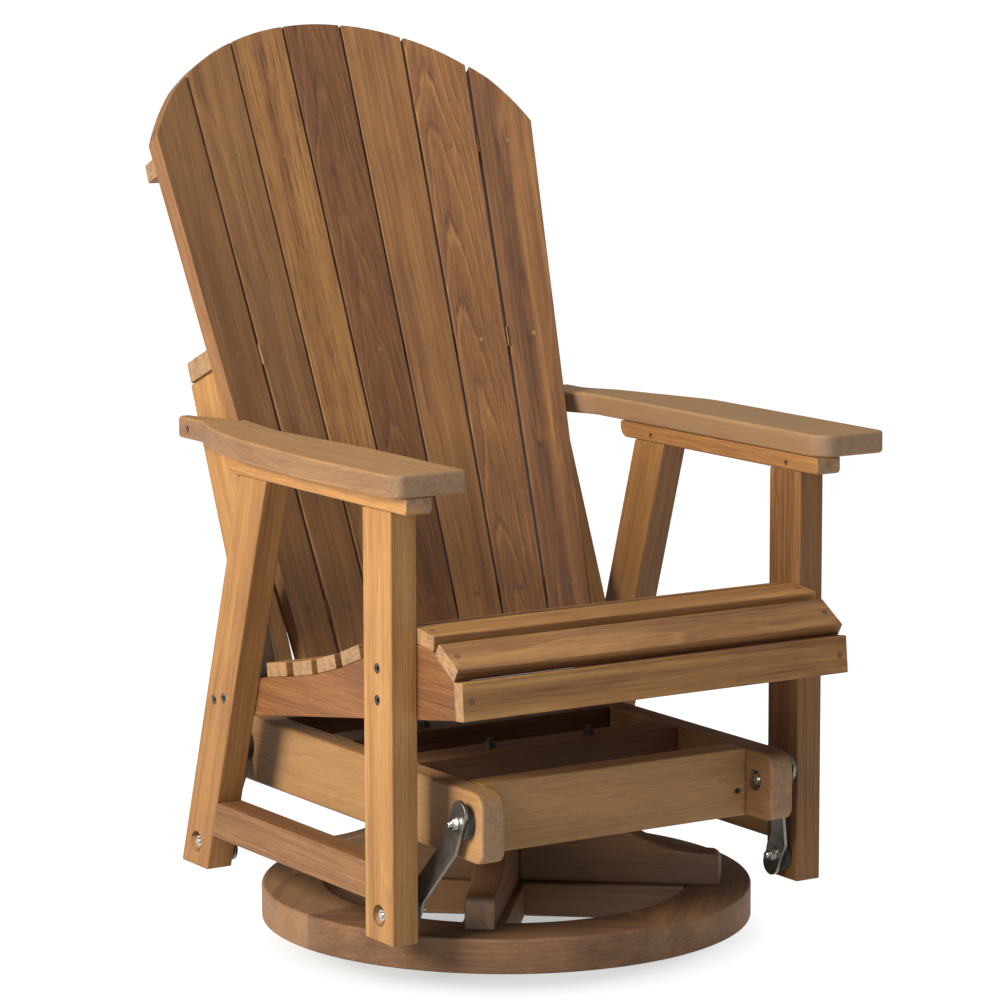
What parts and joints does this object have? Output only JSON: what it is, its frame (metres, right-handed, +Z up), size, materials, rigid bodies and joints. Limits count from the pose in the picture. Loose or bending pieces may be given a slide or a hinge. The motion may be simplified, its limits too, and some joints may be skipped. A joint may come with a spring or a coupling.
{
  "type": "swivel glider chair",
  "caption": "Timber armchair with a slatted seat and fanned slatted back, hung on steel links from a frame that swivels on a round timber base.",
  "frame": {"origin": "on the floor, under the middle of the whole chair's box; the swivel axis stands 19.5 mm to the -X side of it and 73.6 mm to the -Y side", "axes": "+Z up; the chair faces -Y; +X is to the right of someone who looks at its front from the viewer's side, so the sitter's left arm is on the +X side"},
  "size_m": [0.6985, 0.8166, 1.07],
  "materials": {
    "seat_timber": "sanded teak, oiled",
    "back_timber": "sanded teak, oiled",
    "frame_timber": "sanded teak, oiled",
    "arm_timber": "sanded teak, bare",
    "glider_timber": "sanded teak, oiled",
    "base_timber": "sanded teak, oiled",
    "plug_timber": "end grain teak",
    "link_steel": "satin",
    "zinc_steel": "zinc plated",
    "blackened_steel": "black oxide",
    "black_painted_steel": "satin black",
    "black_nylon": "moulded"
  },
  "bodies": {
    "base": {"ring_segment_front_left": "base_timber", "ring_segment_front_right": "base_timber", "ring_segment_rear_left": "base_timber", "ring_segment_rear_right": "base_timber", "base_spokes": "base_timber", "lower_cross_timber": "base_timber", "upper_cross_timber": "base_timber", "base_screws": "zinc_steel", "swivel_lower_plate": "black_painted_steel"},
    "glider_frame": {"front_swivel_rail": "glider_timber", "rear_swivel_rail": "glider_timber", "left_glider_rail": "glider_timber", "right_glider_rail": "glider_timber", "front_cross_rail": "glider_timber", "rear_cross_rail": "glider_timber", "swivel_upper_plate": "black_painted_steel", "glider_frame_bolts": "blackened_steel", "upper_pivot_bolts": "zinc_steel", "upper_pivot_discs": "black_nylon"},
    "front_left_link": {"front_left_link": "link_steel"},
    "front_right_link": {"front_right_link": "link_steel"},
    "rear_left_link": {"rear_left_link": "link_steel"},
    "rear_right_link": {"rear_right_link": "link_steel"},
    "seat": {"left_front_leg": "frame_timber", "right_front_leg": "frame_timber", "left_rear_leg": "frame_timber", "right_rear_leg": "frame_timber", "left_side_stretcher": "frame_timber", "right_side_stretcher": "frame_timber", "left_arm_support": "frame_timber", "right_arm_support": "frame_timber", "left_seat_rail": "frame_timber", "right_seat_rail": "frame_timber", "left_stile": "frame_timber", "right_stile": "frame_timber", "upper_back_batten": "frame_timber", "middle_back_batten": "frame_timber", "lower_back_batten": "frame_timber", "left_armrest": "arm_timber", "right_armrest": "arm_timber", "seat_slat_1": "seat_timber", "seat_slat_2": "seat_timber", "seat_slat_3": "seat_timber", "seat_slat_4": "seat_timber", "seat_slat_5": "seat_timber", "seat_slat_6": "seat_timber", "seat_slat_7": "seat_timber", "nose_slat": "seat_timber", "apron": "seat_timber", "back_slat_1": "back_timber", "back_slat_2": "back_timber", "back_slat_3": "back_timber", "back_slat_4": "back_timber", "back_slat_5": "back_timber", "back_slat_6": "back_timber", "back_slat_7": "back_timber", "lower_pivot_bolts": "zinc_steel", "lower_pivot_discs": "black_nylon", "seat_screws": "blackened_steel", "wood_plugs": "plug_timber"}
  },
  "joints": [
    {"name": "swivel", "type": "hinge", "parent": "base", "child": "glider_frame", "pos_m": [-0.0195, -0.07361, 0.134], "axis": [0, 0, 1], "continuous": true},
    {"name": "front_left_link_hinge", "type": "hinge", "parent": "glider_frame", "child": "front_left_link", "pos_m": [-0.251, -0.33261, 0.1897], "axis": [1, 0, 0], "range_deg": [-10.01, 10.01]},
    {"name": "front_right_link_hinge", "type": "hinge", "parent": "glider_frame", "child": "front_right_link", "pos_m": [0.212, -0.33261, 0.1897], "axis": [1, 0, 0], "range_deg": [-10.01, 10.01]},
    {"name": "rear_left_link_hinge", "type": "hinge", "parent": "glider_frame", "child": "rear_left_link", "pos_m": [-0.251, 0.18539, 0.1897], "axis": [1, 0, 0], "range_deg": [-10.01, 10.01]},
    {"name": "rear_right_link_hinge", "type": "hinge", "parent": "glider_frame", "child": "rear_right_link", "pos_m": [0.212, 0.18539, 0.1897], "axis": [1, 0, 0], "range_deg": [-10.01, 10.01]},
    {"name": "seat_glide", "type": "hinge", "parent": "front_left_link", "child": "seat", "pos_m": [-0.277, -0.27861, 0.0795], "axis": [1, 0, 0], "range_deg": [-11.75, 11.75]}
  ],
  "couplings": [
    {"joint": "front_left_link_hinge", "follows": "seat_glide", "ratio": -0.85157},
    {"joint": "front_right_link_hinge", "follows": "seat_glide", "ratio": -0.85157},
    {"joint": "rear_left_link_hinge", "follows": "seat_glide", "ratio": -0.85157},
    {"joint": "rear_right_link_hinge", "follows": "seat_glide", "ratio": -0.85157}
  ]
}
